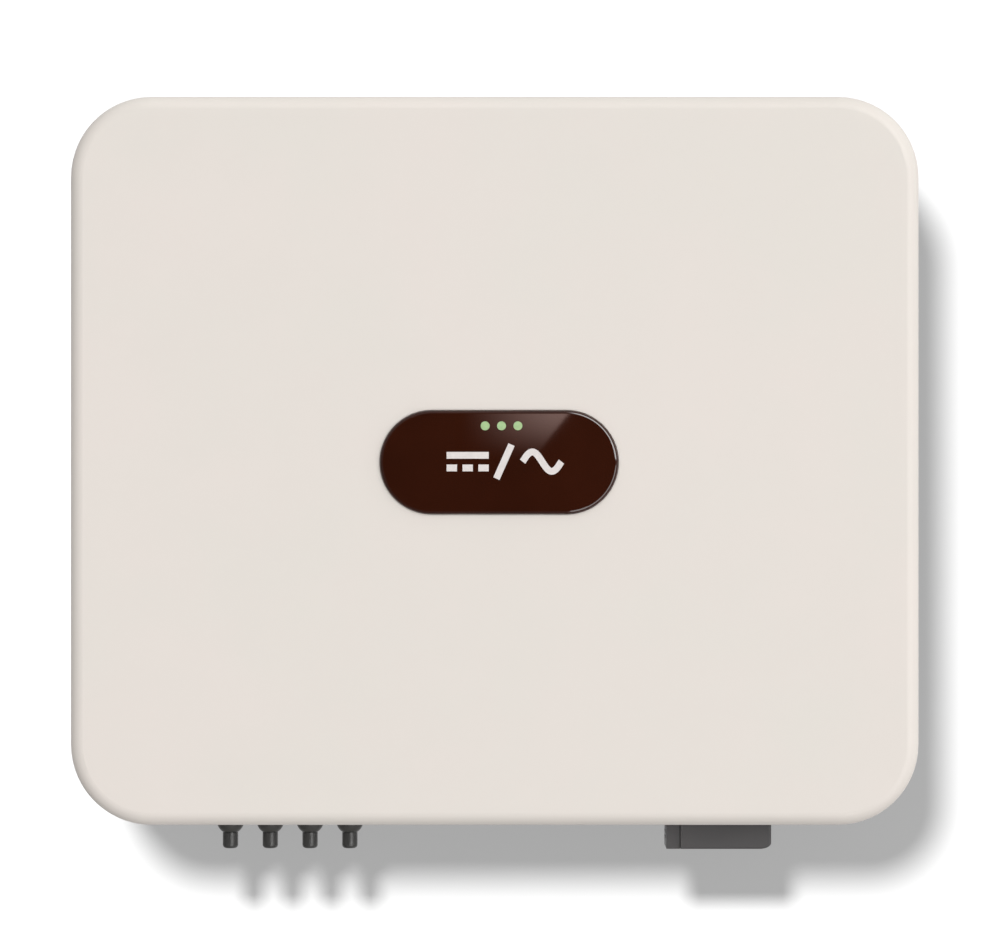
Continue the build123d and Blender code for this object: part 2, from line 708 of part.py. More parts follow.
# ---- wall bracket and rails ----
def make_wall_bracket():
    with BuildPart() as wall_bracket:
        with BuildSketch(wall_plane(0)):
            RectangleRounded(bracket_width, bracket_height, bracket_corner)
            with GridLocations(bolt_spacing_x, bolt_spacing_z, 2, 2):
                Circle(bolt_hole_radius, mode=Mode.SUBTRACT)
        extrude(amount=sheet)
        with BuildSketch(wall_plane(0)):
            with Locations((-hook_x, hook_z + sheet / 2), (hook_x, hook_z + sheet / 2)):
                Rectangle(bracket_hook_width, sheet)
        extrude(amount=hook_stand)
        with BuildSketch(wall_plane(hook_stand - sheet)):
            lip_middle = hook_z + (sheet + hook_lip) / 2
            with Locations((-hook_x, lip_middle), (hook_x, lip_middle)):
                Rectangle(bracket_hook_width, sheet + hook_lip)
        extrude(amount=sheet)
        with BuildSketch(wall_plane(0)):
            ear_x = (bracket_width - sheet) / 2
            with Locations((-ear_x, lock_z), (ear_x, lock_z)):
                Rectangle(sheet, ear_height)
        extrude(amount=ear_stand)
        # slots, open at the top, that the lock screws drop into
        with BuildSketch(side_plane(-bracket_width / 2)):
            with Locations((-lock_stand, lock_z)):
                Circle(lock_radius + lock_gap)
            with Locations((-lock_stand, lock_z + ear_height / 2)):
                Rectangle(2 * (lock_radius + lock_gap), ear_height)
        extrude(amount=bracket_width, mode=Mode.SUBTRACT)
    write(wall_bracket, "wall_bracket")


def make_rails():
    with BuildPart() as hanger_rail:
        top = web_z + sheet
        with BuildSketch(wall_plane(rail_rear)):
            with Locations((0, (rail_low_z + top) / 2)):
                Rectangle(rail_width, top - rail_low_z)
            with Locations(*rail_screw_points):
                Circle(m5 + screw_gap, mode=Mode.SUBTRACT)
        extrude(amount=sheet)
        with BuildSketch(wall_plane(rail_lip_stand)):
            with Locations((-hook_x, web_z + sheet / 2), (hook_x, web_z + sheet / 2)):
                Rectangle(hook_width, sheet)
        extrude(amount=rail_rear - rail_lip_stand)
        with BuildSketch(wall_plane(rail_lip_stand)):
            with Locations((-hook_x, (rail_lip_z + top) / 2), (hook_x, (rail_lip_z + top) / 2)):
                Rectangle(hook_width, top - rail_lip_z)
        extrude(amount=sheet)
        with BuildSketch(wall_plane(rail_ear_stand)):
            with Locations((-rail_ear_x, lock_z), (rail_ear_x, lock_z)):
                Rectangle(sheet, 2 * (lock_z - rail_low_z))
        extrude(amount=rail_rear - rail_ear_stand)
        with BuildSketch(side_plane(-rail_width / 2)):
            with Locations((-lock_stand, lock_z)):
                Circle(lock_radius + screw_gap)
        extrude(amount=rail_width, mode=Mode.SUBTRACT)
    write(hanger_rail, "hanger_rail")

    with BuildPart() as lower_rail:
        with BuildSketch(wall_plane(rail_rear)):
            with Locations((0, lower_rail_z)):
                Rectangle(rail_width, lower_rail_height)
            with Locations(*lower_screw_points):
                Circle(m5 + screw_gap, mode=Mode.SUBTRACT)
        extrude(amount=sheet)
    write(lower_rail, "lower_rail")

    with BuildPart() as wall_bumpers:
        with BuildSketch(wall_plane(0)):
            with Locations((-bumper_x, lower_rail_z), (bumper_x, lower_rail_z)):
                Circle(bumper_radius)
        extrude(amount=rail_rear)
        fillet(wall_bumpers.faces().group_by(Axis.Y)[-1].edges(), bumper_edge_radius)
    write(wall_bumpers, "wall_bumpers")

    lock_plane = side_plane(rail_ear_x + sheet / 2)
    right_screw = screw_group(lock_plane, [(-lock_stand, lock_z)], lock_radius, lock_length)
    with BuildPart() as lock_screws:
        add(right_screw.part)
        mirror(about=Plane.YZ)
    write(lock_screws, "lock_screws")


# ---- terminals ----
def make_pv_terminals():
    for name, x in zip(pv_names, pv_xs):
        with BuildPart() as socket:
            with BuildSketch(terminal_plane(x)):
                with BuildLine():
                    shoulder = SagittaArc((pv_body_radius, pv_shoulder - pv_body_length),
                                          (cap_radius, -pv_body_length), pv_shoulder_bulge)
                    Polyline(shoulder @ 1, (nose_radius, -pv_body_length), (nose_radius, -nose_end),
                             (contact_radius + contact_gap, -nose_end),
                             (contact_radius + contact_gap, pv_thread_length),
                             (pv_thread_radius, pv_thread_length),
                             (pv_thread_radius, -seal_thickness),
                             (pv_flange_radius, -seal_thickness),
                             (pv_flange_radius, -pv_seat),
                             (pv_body_radius, -pv_seat),
                             shoulder @ 0)
                make_face()
            revolve(axis=terminal_axis(x))
        write(socket, f"{name}_socket")

        with BuildPart() as cap:
            with BuildSketch(under_plane(cap_top)):
                with Locations((x, terminal_stand)):
                    Circle(cap_radius)
            extrude(amount=terminal_drop - cap_top)
            fillet(cap.faces().sort_by(Axis.Z)[0].edges(), cap_edge_radius)
            with BuildSketch(under_plane(cap_top)):
                with Locations((x, terminal_stand)):
                    Circle(cap_radius - cap_wall)
            extrude(amount=terminal_drop - cap_end - cap_top, mode=Mode.SUBTRACT)
        write(cap, f"{name}_cap")

    with BuildPart() as pv_seals:
        with BuildSketch(under_plane(0)):
            with Locations(*pv_points):
                Circle(pv_flange_radius)
                Circle(pv_thread_radius + thread_gap, mode=Mode.SUBTRACT)
        extrude(amount=seal_thickness)
    write(pv_seals, "pv_socket_seals")

    with BuildPart() as pv_nuts:
        with BuildSketch(under_plane(-tub_wall)):
            with Locations(*pv_points):
                RegularPolygon(pv_nut_radius, 6)
                Circle(pv_thread_radius + thread_gap, mode=Mode.SUBTRACT)
        extrude(amount=-pv_nut_height)
    write(pv_nuts, "pv_socket_nuts")


def make_dc_switch():
    with BuildPart() as switch_plate:
        with BuildSketch(under_plane(0)):
            with Locations((switch_x, terminal_stand)):
                Circle(switch_plate_radius)
                Circle(shaft_radius + port_gap, mode=Mode.SUBTRACT)
        extrude(amount=switch_plate_thickness)
        chamfer(switch_plate.faces().sort_by(Axis.Z)[0].edges().sort_by(SortBy.LENGTH)[-1],
                switch_plate_thickness / 2)
    write(switch_plate, "dc_switch_plate")

    knob_top = switch_plate_thickness + port_gap
    knob_end = knob_top + knob_disc + knob_bar_height
    with BuildPart() as knob:
        with BuildSketch(under_plane(knob_top)):
            with Locations((switch_x, terminal_stand)):
                Circle(knob_radius)
        extrude(amount=knob_disc)
        fillet(knob.faces().sort_by(Axis.Z)[0].edges(), knob_edge_radius)
        with BuildSketch(under_plane(knob_top + knob_disc / 2)):
            with Locations((switch_x, terminal_stand)):
                SlotOverall(2 * knob_radius, knob_bar)
        extrude(amount=knob_end - knob_top - knob_disc / 2)
        fillet(knob.faces().sort_by(Axis.Z)[0].edges(), knob_edge_radius)
        with BuildSketch(under_plane(knob_top)):
            with Locations((switch_x, terminal_stand)):
                Circle(shaft_radius + knob_gap)
        extrude(amount=shaft_hold, mode=Mode.SUBTRACT)
    write(knob, "dc_switch_knob")

    with BuildPart() as shaft:
        with BuildSketch(under_plane(knob_top + shaft_hold - knob_gap)):
            with Locations((switch_x, terminal_stand)):
                Circle(shaft_radius)
        extrude(amount=-(knob_top + shaft_hold - knob_gap + tub_wall + switch_body_height / 2))
    write(shaft, "dc_switch_shaft")

    with BuildPart() as switch_body:
        with BuildSketch(under_plane(-tub_wall)):
            with Locations((switch_x, terminal_stand)):
                Rectangle(switch_body_width, switch_body_depth)
        extrude(amount=-switch_body_height)
        fillet(switch_body.edges().filter_by(Axis.Z), knob_edge_radius)
        with BuildSketch(under_plane(-tub_wall)):
            with Locations((switch_x, terminal_stand)):
                Circle(shaft_radius + shaft_gap)
        extrude(amount=-switch_body_height / 2 - port_gap, mode=Mode.SUBTRACT)
    write(switch_body, "dc_switch_body")


def make_small_port(name, x, outline, corner):
    """A low port and its pull-off cap. outline(margin) draws its outline, grown by a margin."""
    cap_start = port_flange_thickness + port_gap
    with BuildPart() as port:
        with BuildSketch(under_plane(0)):
            with Locations((x, terminal_stand)):
                outline(port_flange)
        extrude(amount=port_flange_thickness)
        with BuildSketch(under_plane(0)):
            with Locations((x, terminal_stand)):
                outline(0)
        extrude(amount=port_nose)
        with BuildSketch(under_plane(0)):
            with Locations((x, terminal_stand)):
                outline(-port_wall)
        extrude(amount=port_nose, mode=Mode.SUBTRACT)
        # the contact block in the port, which closes the panel behind it
        with BuildSketch(under_plane(-tub_wall)):
            with Locations((x, terminal_stand)):
                outline(-port_wall - port_block_gap)
        extrude(amount=tub_wall + port_flange_thickness)
        with BuildSketch(under_plane(0)):
            with Locations((x, terminal_stand)):
                outline(0)
        extrude(amount=port_flange_thickness)
    write(port, f"{name}_port")

    with BuildPart() as cap:
        with BuildSketch(under_plane(cap_start)):
            with Locations((x, terminal_stand)):
                outline(port_cap_wall)
        extrude(amount=port_cap_drop - cap_start)
        fillet(cap.faces().sort_by(Axis.Z)[0].edges(), corner)
        with BuildSketch(under_plane(cap_start)):
            with Locations((x, terminal_stand)):
                outline(port_gap)
        extrude(amount=port_nose + port_gap - cap_start, mode=Mode.SUBTRACT)
    write(cap, f"{name}_cap")


def make_ac_terminal():
    with BuildPart() as ac_port_seal:
        with BuildSketch(under_plane(0)):
            with Locations((ac_middle_x, terminal_stand)):
                RectangleRounded(ac_flange_width, ac_flange_depth, ac_corner)
            with Locations((ac_cap_x, terminal_stand)):
                Rectangle(ac_panel_width, ac_panel_depth, mode=Mode.SUBTRACT)
            with Locations(*ac_screw_points):
                Circle(m4 + screw_gap, mode=Mode.SUBTRACT)
        extrude(amount=seal_thickness)
    write(ac_port_seal, "ac_port_seal")

    with BuildPart() as ac_port:
        with BuildSketch(under_plane(seal_thickness)):
            with Locations((ac_middle_x, terminal_stand)):
                RectangleRounded(ac_flange_width, ac_flange_depth, ac_corner)
            with Locations(*ac_screw_points):
                Circle(m4 + screw_gap, mode=Mode.SUBTRACT)
        extrude(amount=ac_flange_thickness)
        with BuildSketch(under_plane(ac_seat)):
            with Locations((ac_cap_x, terminal_stand)):
                RectangleRounded(ac_socket_width, ac_socket_depth, ac_corner)
        extrude(amount=ac_socket_drop - ac_seat)
        with BuildSketch(under_plane(ac_seat + ac_socket_floor)):
            with Locations((ac_cap_x, terminal_stand)):
                RectangleRounded(ac_socket_width - 2 * ac_socket_wall,
                                 ac_socket_depth - 2 * ac_socket_wall, ac_corner - ac_socket_wall / 2)
        extrude(amount=ac_socket_drop, mode=Mode.SUBTRACT)
        with BuildSketch(under_plane(0)):
            with Locations(*ac_pin_points):
                Circle(ac_contact_radius + contact_gap)
        extrude(amount=ac_socket_drop, mode=Mode.SUBTRACT)
        # lugs either side of the latch, which hold its pin
        with BuildSketch(under_plane(ac_seat)):
            with Locations((latch_x, terminal_stand)):
                with GridLocations(0, 2 * latch_lug_y, 1, 2):
                    Rectangle(ac_latch_width, ac_lug)
        extrude(amount=ac_latch_pivot + ac_latch_width / 2 - ac_seat)
        with BuildSketch(latch_plane(terminal_stand - ac_flange_depth / 2)):
            Circle(ac_pin_radius + ac_pin_gap)
        extrude(amount=ac_flange_depth, mode=Mode.SUBTRACT)
    write(ac_port, "ac_port")

    with BuildPart() as ac_latch_pin:
        with BuildSketch(latch_plane(terminal_stand - latch_lug_y - ac_lug / 2)):
            Circle(ac_pin_radius)
        extrude(amount=2 * latch_lug_y + ac_lug)
    write(ac_latch_pin, "ac_latch_pin")

    with BuildPart() as ac_latch:
        reach = ac_drop - ac_latch_pivot
        with BuildSketch(latch_plane(terminal_stand - ac_latch_depth / 2)):
            Circle(ac_latch_width / 2)
            with Locations((0, -reach / 2)):
                Rectangle(ac_latch_width, reach)
        extrude(amount=ac_latch_depth)
        fillet(ac_latch.faces().sort_by(Axis.Z)[0].edges(), ac_latch_edge_radius)
        with BuildSketch(latch_plane(terminal_stand - ac_latch_depth / 2)):
            Circle(ac_pin_radius + shaft_gap)
        extrude(amount=ac_latch_depth, mode=Mode.SUBTRACT)
        # finger grooves down the outer side
        with BuildSketch(latch_plane(terminal_stand - ac_latch_depth / 2 + latch_groove_end)):
            with Locations((-ac_latch_width / 2, -latch_groove_drop)):
                with GridLocations(0, latch_groove_pitch, 1, 4):
                    Circle(latch_groove_radius)
        extrude(amount=ac_latch_depth - 2 * latch_groove_end, mode=Mode.SUBTRACT)
    write(ac_latch, "ac_latch")

    with BuildPart() as ac_cap:
        cap_start = ac_seat + port_gap
        left, right = ac_cap_x - ac_cap_width / 2, ac_cap_x + ac_cap_width / 2
        top, low = panel_z - cap_start, panel_z - ac_drop
        with BuildSketch(wall_plane(terminal_stand - ac_cap_depth / 2)):
            with BuildLine():
                corner = EllipticalCenterArc((right - ac_cap_corner_x, low + ac_cap_corner_z),
                                             ac_cap_corner_x, ac_cap_corner_z, 270, arc_size=90)
                Polyline(corner @ 1, (right, top), (left, top), (left, low), corner @ 0)
            make_face()
        extrude(amount=ac_cap_depth)
        # each rounding runs on from the lower edge round the corner and up the right side
        front, rear = ac_cap.faces().sort_by(Axis.Y)[0], ac_cap.faces().sort_by(Axis.Y)[-1]
        lower_edges = [face.edges().sort_by(Axis.Z)[0] for face in (front, rear)]
        fillet(lower_edges, ac_cap_edge_radius)
        with BuildSketch(under_plane(cap_start)):
            with Locations((ac_cap_x, terminal_stand)):
                RectangleRounded(ac_socket_width + 2 * port_gap, ac_socket_depth + 2 * port_gap, ac_corner)
        extrude(amount=ac_drop - ac_cap_floor - cap_start, mode=Mode.SUBTRACT)
    write(ac_cap, "ac_cap")


def make_contacts():
    """The sockets' metal pins, from inside the tub down to just short of each socket's mouth."""
    with BuildPart() as terminal_contacts:
        with BuildSketch(under_plane(-contact_rise)):
            with Locations(*pv_points):
                Circle(contact_radius)
        extrude(amount=contact_rise + nose_end - nose_gap)
        with BuildSketch(under_plane(-contact_rise)):
            with Locations(*ac_pin_points):
                Circle(ac_contact_radius)
        extrude(amount=contact_rise + ac_contact_drop)
        tips = terminal_contacts.faces().filter_by(Axis.Z).filter_by(lambda face: face.center().Z < panel_z)
        chamfer(tips.edges(), contact_radius / 3)
    write(terminal_contacts, "terminal_contacts")


def make_vent_and_ground():
    with BuildPart() as vent_valve:
        with BuildSketch(under_plane(0)):
            with Locations((vent_x, terminal_stand)):
                RegularPolygon(vent_radius, 6)
        extrude(amount=vent_hex)
        with BuildSketch(under_plane(vent_hex)):
            with Locations((vent_x, terminal_stand)):
                Circle(vent_dome_radius)
        extrude(amount=vent_dome)
        fillet(vent_valve.faces().sort_by(Axis.Z)[0].edges(), vent_dome / 2)
        with BuildSketch(under_plane(0)):
            with Locations((vent_x, terminal_stand)):
                Circle(vent_thread_radius)
        extrude(amount=-pv_thread_length)
    write(vent_valve, "vent_valve")

    with BuildPart() as ground_screw:
        plane = side_plane(tub_width / 2 + ground_boss_proud)
        with BuildSketch(plane):
            with Locations(ground_points[0]):
                Circle(ground_washer_radius)
        extrude(amount=ground_washer)
        with BuildSketch(plane.offset(ground_washer)):
            with Locations(ground_points[0]):
                Circle(m5 * head_radius)
        extrude(amount=m5 * head_height)
        with BuildSketch(plane):
            with Locations(ground_points[0]):
                Circle(ground_hole_radius - screw_gap)
        extrude(amount=screw_gap - ground_hole_depth)
        with BuildSketch(plane.offset(ground_washer + m5 * head_height)):
            with Locations(ground_points[0]):
                Rectangle(ground_slot, 3 * m5)
        extrude(amount=-m5 * head_height / 2, mode=Mode.SUBTRACT)
    write(ground_screw, "ground_screw")


# ---- inside ----
def blocks(name, stand, points, width, height, depth, corner):
    """A group of blocks of one size, from a stand towards the room, with rounded corners."""
    with BuildPart() as group:
        with BuildSketch(body_plane(stand)):
            with Locations(*points):
                Rectangle(width, height)
        extrude(amount=depth)
        fillet(group.edges().filter_by(Axis.Y), corner)
    write(group, name)


def make_boards():
    with BuildPart() as power_board:
        with BuildSketch(body_plane(board_stand)):
            with Locations((0, board_centre_z)):
                Rectangle(board_width, board_height)
            with Locations(*board_posts, *spacer_points):
                Circle(m4 + screw_gap, mode=Mode.SUBTRACT)
        extrude(amount=board_thickness)
    write(power_board, "power_board")

    with BuildPart() as board_spacers:
        with BuildSketch(body_plane(board_front)):
            with Locations(*spacer_points):
                Circle(post_radius)
        extrude(amount=control_stand - board_front)
        with BuildSketch(body_plane(board_stand - spacer_stud)):
            with Locations(*spacer_points):
                Circle(m4)
        extrude(amount=board_front - board_stand + spacer_stud)
    write(board_spacers, "board_spacers")

    with BuildPart() as control_board:
        with BuildSketch(body_plane(control_stand)):
            with Locations((0, control_centre_z)):
                Rectangle(control_width, control_height)
        extrude(amount=board_thickness)
        # processor, memory, and headers
        with BuildSketch(body_plane(control_stand + board_thickness)):
            with Locations(*chip_points):
                Rectangle(chip_size, chip_size)
        extrude(amount=chip_height)
    write(control_board, "control_board")

    with BuildPart() as light_board:
        with BuildSketch(body_plane(led_stand)):
            with Locations((light_offset_x, light_offset_z)):
                Rectangle(led_board_width, led_board_height)
        extrude(amount=board_thickness)
        with BuildSketch(body_plane(led_stand + board_thickness)):
            with Locations(*light_points):
                Rectangle(2 * pipe_radius, 2 * pipe_radius)
        extrude(amount=led_height)
        with BuildSketch(body_plane(control_stand + board_thickness)):
            with Locations((light_offset_x, light_offset_z - led_board_height / 4)):
                Rectangle(header_width, header_height)
        extrude(amount=led_stand - control_stand - board_thickness)
    write(light_board, "light_board")


def make_components():
    depth = board_stand - sink_front - component_gap
    blocks("power_modules", board_stand - module_depth, module_points,
           module_width, module_height, module_depth, component_corner)
    blocks("boost_inductors", sink_front, boost_points,
           boost_width, boost_height, depth, inductor_corner)
    blocks("filter_inductors", sink_front, filter_points,
           filter_width, filter_width, depth, inductor_corner)
    blocks("grid_relays", board_front, relay_points,
           relay_width, relay_height, relay_depth, component_corner)
    blocks("film_capacitors", board_front, film_points,
           film_width, film_height, film_depth, component_corner)

    with BuildPart() as bus_capacitors:
        with BuildSketch(body_plane(board_stand)):
            with Locations(*capacitor_points):
                Circle(capacitor_radius)
        extrude(amount=-depth)
        fillet(bus_capacitors.faces().group_by(Axis.Y)[-1].edges(), component_corner)
    write(bus_capacitors, "bus_capacitors")

    with BuildPart() as chokes:
        with BuildSketch(body_plane(board_front)):
            with Locations(*choke_points):
                Circle(choke_radius)
                Circle(choke_hole, mode=Mode.SUBTRACT)
        extrude(amount=choke_depth)
        fillet(chokes.edges().filter_by(GeomType.CIRCLE).group_by(Axis.Y)[0], choke_edge_radius)
    write(chokes, "interference_chokes")


def make_leads(name, points):
    """A lead from each contact's inner end: straight up, one bend, then into the power board."""
    with BuildPart() as leads:
        for x, stand in points:
            start = (x, -stand, panel_z + contact_rise)
            turn = (x, -stand, panel_z + contact_rise + lead_rise)
            with BuildLine() as route:
                FilletPolyline(start, turn, (x, -board_stand, turn[2]), radius=lead_bend)
            with BuildSketch(Plane(origin=start, x_dir=(1, 0, 0), z_dir=(0, 0, 1))):
                Circle(lead_radius)
            sweep(path=route.wires()[0])
    write(leads, name)


os.makedirs("parts", exist_ok=True)
make_front_cover()
make_display()
screws("cover_screws", facing_wall(body_plane(ear_front - ear_thickness)), side_posts + top_posts,
       m3, ear_thickness + cover_screw_depth)

make_enclosure()
make_lid()
screws("lid_screws", body_plane(lid_front), lid_points,
       m4, lid_thickness + gasket_thickness + flange_thickness)
make_heat_sink()
screws("heat_sink_screws", facing_wall(body_plane(sink_rear)), sink_points, m5,
       sink_base + sink_seal + sink_boss_height)

make_wall_bracket()
make_rails()
screws("rail_screws", facing_wall(wall_plane(rail_rear)), rail_screw_points + lower_screw_points, m5,
       sheet + rail_screw_depth - screw_gap)

make_pv_terminals()
make_dc_switch()
make_small_port("com", com_x, lambda margin: Circle(com_radius + margin), port_cap_edge)
make_small_port("dongle", dongle_x,
                lambda margin: Rectangle(dongle_width + 2 * margin, dongle_depth + 2 * margin),
                port_cap_edge)
make_ac_terminal()
make_contacts()
screws("ac_port_screws", under_plane(ac_seat), ac_screw_points, m4, ac_seat + tub_wall)
make_vent_and_ground()

make_boards()
screws("board_screws", body_plane(board_front), board_posts,
       m4, board_thickness + board_screw_length - screw_gap)
make_components()
make_leads("dc_leads", pv_points)
make_leads("ac_leads", ac_pin_points)
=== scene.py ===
import json
import math

import bpy
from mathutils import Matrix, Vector


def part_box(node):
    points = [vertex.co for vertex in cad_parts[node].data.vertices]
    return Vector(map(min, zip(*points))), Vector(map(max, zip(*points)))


# The looks of a wall-hung string inverter, around its CAD frame. Everything is in metres, in the
# row's frame: X to the right and Z up for a person who faces the cover, Y into the wall.

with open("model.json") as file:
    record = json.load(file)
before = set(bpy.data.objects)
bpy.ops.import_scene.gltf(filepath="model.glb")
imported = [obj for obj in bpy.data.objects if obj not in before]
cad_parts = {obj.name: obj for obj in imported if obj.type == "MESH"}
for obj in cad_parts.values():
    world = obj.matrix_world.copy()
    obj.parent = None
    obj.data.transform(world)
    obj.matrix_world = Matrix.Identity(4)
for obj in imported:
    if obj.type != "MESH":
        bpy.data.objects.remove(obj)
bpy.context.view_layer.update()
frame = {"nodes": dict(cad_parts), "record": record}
nodes = frame["nodes"]

MM = 0.001
cover_low, cover_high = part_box("front_cover")
cover_middle = (cover_low + cover_high) / 2
plate_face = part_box("display_plate")[0].y


# ---- node helpers ----
class Shader:
    """A Principled material being built: makes nodes, links them, and sets the shader's own sockets."""

    def __init__(self, name):
        self.material = bpy.data.materials.new(name)
        self.material.use_nodes = True
        self.tree = self.material.node_tree
        self.bsdf = next(n for n in self.tree.nodes if n.type == "BSDF_PRINCIPLED")
        self.place = self.node("ShaderNodeTexCoord").outputs["Object"]

    def node(self, kind, **values):
        made = self.tree.nodes.new(kind)
        for key, value in values.items():
            setattr(made, key, value)
        return made

    def link(self, a, b):
        self.tree.links.new(a, b)

    def set(self, **values):
        for key, value in values.items():
            self.bsdf.inputs[key.replace("_", " ")].default_value = value

    def stretched(self, scale):
        """Object coordinates, multiplied along each axis."""
        mapping = self.node("ShaderNodeMapping")
        mapping.inputs["Scale"].default_value = scale
        self.link(self.place, mapping.inputs["Vector"])
        return mapping.outputs["Vector"]

    def noise(self, scale, detail=3.0, roughness=0.55, place=None):
        made = self.node("ShaderNodeTexNoise")
        made.inputs["Scale"].default_value = scale
        made.inputs["Detail"].default_value = detail
        made.inputs["Roughness"].default_value = roughness
        self.link(place or self.place, made.inputs["Vector"])
        return made.outputs["Fac"]

    def cells(self, scale, feature="F1", output="Distance", place=None):
        made = self.node("ShaderNodeTexVoronoi", feature=feature)
        made.inputs["Scale"].default_value = scale
        self.link(place or self.place, made.inputs["Vector"])
        return made.outputs[output]

    def span(self, value, low, high, start=0.3, stop=0.7):
        """Stretches a value's start to stop over low to high."""
        made = self.node("ShaderNodeMapRange")
        made.inputs["From Min"].default_value = start
        made.inputs["From Max"].default_value = stop
        made.inputs["To Min"].default_value = low
        made.inputs["To Max"].default_value = high
        self.link(value, made.inputs["Value"])
        return made.outputs["Result"]

    def mixed(self, amount, first, second):
        """Two colours, or a colour output and a colour, mixed by an amount from 0 to 1."""
        made = self.node("ShaderNodeMix", data_type="RGBA")
        self.link(amount, made.inputs["Factor"])
        for socket, colour in (("A", first), ("B", second)):
            target = next(i for i in made.inputs if i.name == socket and i.type == "RGBA")
            if isinstance(colour, bpy.types.NodeSocket):
                self.link(colour, target)
            else:
                target.default_value = (*colour, 1.0)
        return next(o for o in made.outputs if o.type == "RGBA")

    def colour(self, output):
        self.link(output, self.bsdf.inputs["Base Color"])

    def rough(self, output):
        self.link(output, self.bsdf.inputs["Roughness"])

    def bumps(self, *layers):
        """Bump layers, each (height output, strength, distance in metres), one on another."""
        normal = None
        for height, strength, distance in layers:
            made = self.node("ShaderNodeBump")
            made.inputs["Strength"].default_value = strength
            made.inputs["Distance"].default_value = distance
            self.link(height, made.inputs["Height"])
            if normal:
                self.link(normal, made.inputs["Normal"])
            normal = made.outputs["Normal"]
        self.link(normal, self.bsdf.inputs["Normal"])


def tint(colour, factor):
    return tuple(min(1.0, c * factor) for c in colour)


def srgb(red, green, blue):
    """A colour given in screen values from 0 to 255, as linear light."""
    shares = (red / 255, green / 255, blue / 255)
    return tuple(((c + 0.055) / 1.055) ** 2.4 if c > 0.04045 else c / 12.92 for c in shares)


# ---- materials ----
def moulded(name, colour, rough=0.5, grain=900.0, depth=0.03, spread=0.04, ior=1.46):
    """Moulded plastic: spark-eroded grain, faint flow marks, and a slightly uneven sheen."""
    s = Shader(name)
    drift = s.noise(9.0, 2.0)
    speck = s.noise(grain * 1.7, 2.0)
    s.colour(s.mixed(s.span(drift, 0.0, 1.0), tint(colour, 1 - spread), tint(colour, 1 + spread)))
    s.rough(s.span(s.noise(60.0, 4.0), rough - 0.05, rough + 0.06))
    s.bumps((s.noise(grain, 3.0), 0.35, depth * MM), (speck, 0.2, depth * MM / 2))
    s.set(IOR=ior)
    return s.material


def cover_plastic():
    """The cover's painted plastic: a warm off-white with faint pink and green clouds, and fine grain."""
    s = Shader("cover_cream_finish")
    base = srgb(230, 222, 215)
    warm, cool = tint(base, 1.004), (base[0] * 0.982, base[1] * 1.002, base[2] * 0.996)
    clouds = s.mixed(s.span(s.noise(7.0, 3.0, 0.6), 0.0, 1.0, 0.38, 0.62), warm, cool)
    s.colour(s.mixed(s.span(s.noise(45.0, 4.0), 0.0, 0.25), clouds, tint(base, 0.985)))
    s.rough(s.span(s.noise(25.0, 3.0), 0.40, 0.48))
    s.bumps((s.noise(900.0, 3.0), 0.22, 0.02 * MM), (s.noise(70.0, 2.0), 0.10, 0.05 * MM))
    s.set(IOR=1.45)
    return s.material


def plate_gloss():
    """The display plate's deep brown gloss, with a hint of haze and flecks of dust in the lacquer."""
    s = Shader("plate_brown_finish")
    base = (0.0335, 0.0073, 0.0030)
    s.colour(s.mixed(s.span(s.noise(18.0, 3.0), 0.0, 1.0), tint(base, 0.86), tint(base, 1.14)))
    flecks = s.span(s.noise(1300.0, 2.0), 0.02, 0.14, 0.68, 0.82)
    s.rough(flecks)
    s.bumps((s.noise(28.0, 1.5), 0.05, 0.04 * MM))
    s.set(IOR=1.75)
    return s.material


def printed_ink():
    s = Shader("emblem_grey_finish")
    base = srgb(226, 219, 216)
    s.colour(s.mixed(s.span(s.noise(240.0, 4.0), 0.0, 1.0), tint(base, 0.95), tint(base, 1.03)))
    s.rough(s.span(s.noise(900.0, 2.0), 0.42, 0.6))
    s.bumps((s.noise(1400.0, 2.0), 0.2, 0.01 * MM))
    return s.material


def light_lens():
    """Pale green diffusing lenses."""
    s = Shader("light_green_finish")
    base = srgb(172, 203, 148)
    s.colour(s.mixed(s.span(s.noise(420.0, 3.0), 0.0, 1.0), tint(base, 0.93), tint(base, 1.04)))
    s.rough(s.span(s.noise(800.0, 2.0), 0.30, 0.42))
    s.bumps((s.noise(700.0, 2.0), 0.1, 0.02 * MM))
    s.set(Subsurface_Weight=0.15, Subsurface_Scale=0.002)
    return s.material


def painted_casting(name, colour, pits=0.12):
    """Die-cast metal under matte powder paint: orange peel, a few pits, and paler rubbed patches."""
    s = Shader(name)
    cloud = s.mixed(s.span(s.noise(12.0, 4.0), 0.0, 1.0), tint(colour, 0.93), tint(colour, 1.07))
    s.colour(s.mixed(s.span(s.noise(260.0, 2.0), 0.0, 0.25, 0.62, 0.75), cloud, tint(colour, 1.5)))
    s.rough(s.span(s.noise(90.0, 3.0), 0.52, 0.68))
    s.bumps((s.noise(420.0, 2.0), 0.4, 0.10 * MM), (s.noise(1500.0, 2.0), pits, 0.08 * MM))
    s.set(Metallic=0.0, IOR=1.5)
    return s.material


def extruded_aluminium():
    """Anodised extrusion: die lines along the fins, and a dull, slightly uneven sheen."""
    s = Shader("sink_aluminium_finish")
    base = (0.56, 0.57, 0.585)
    lines = s.noise(1.0, 4.0, 0.7, place=s.stretched((1800.0, 900.0, 6.0)))
    cloud = s.noise(14.0, 4.0)
    streaked = s.mixed(s.span(lines, 0.0, 1.0), tint(base, 0.84), tint(base, 1.08))
    s.colour(s.mixed(s.span(cloud, 0.0, 0.35), streaked, tint(base, 0.78)))
    s.rough(s.span(lines, 0.33, 0.52))
    s.bumps((lines, 0.35, 0.06 * MM), (s.noise(700.0, 2.0), 0.1, 0.03 * MM))
    s.set(Metallic=0.9)
    return s.material


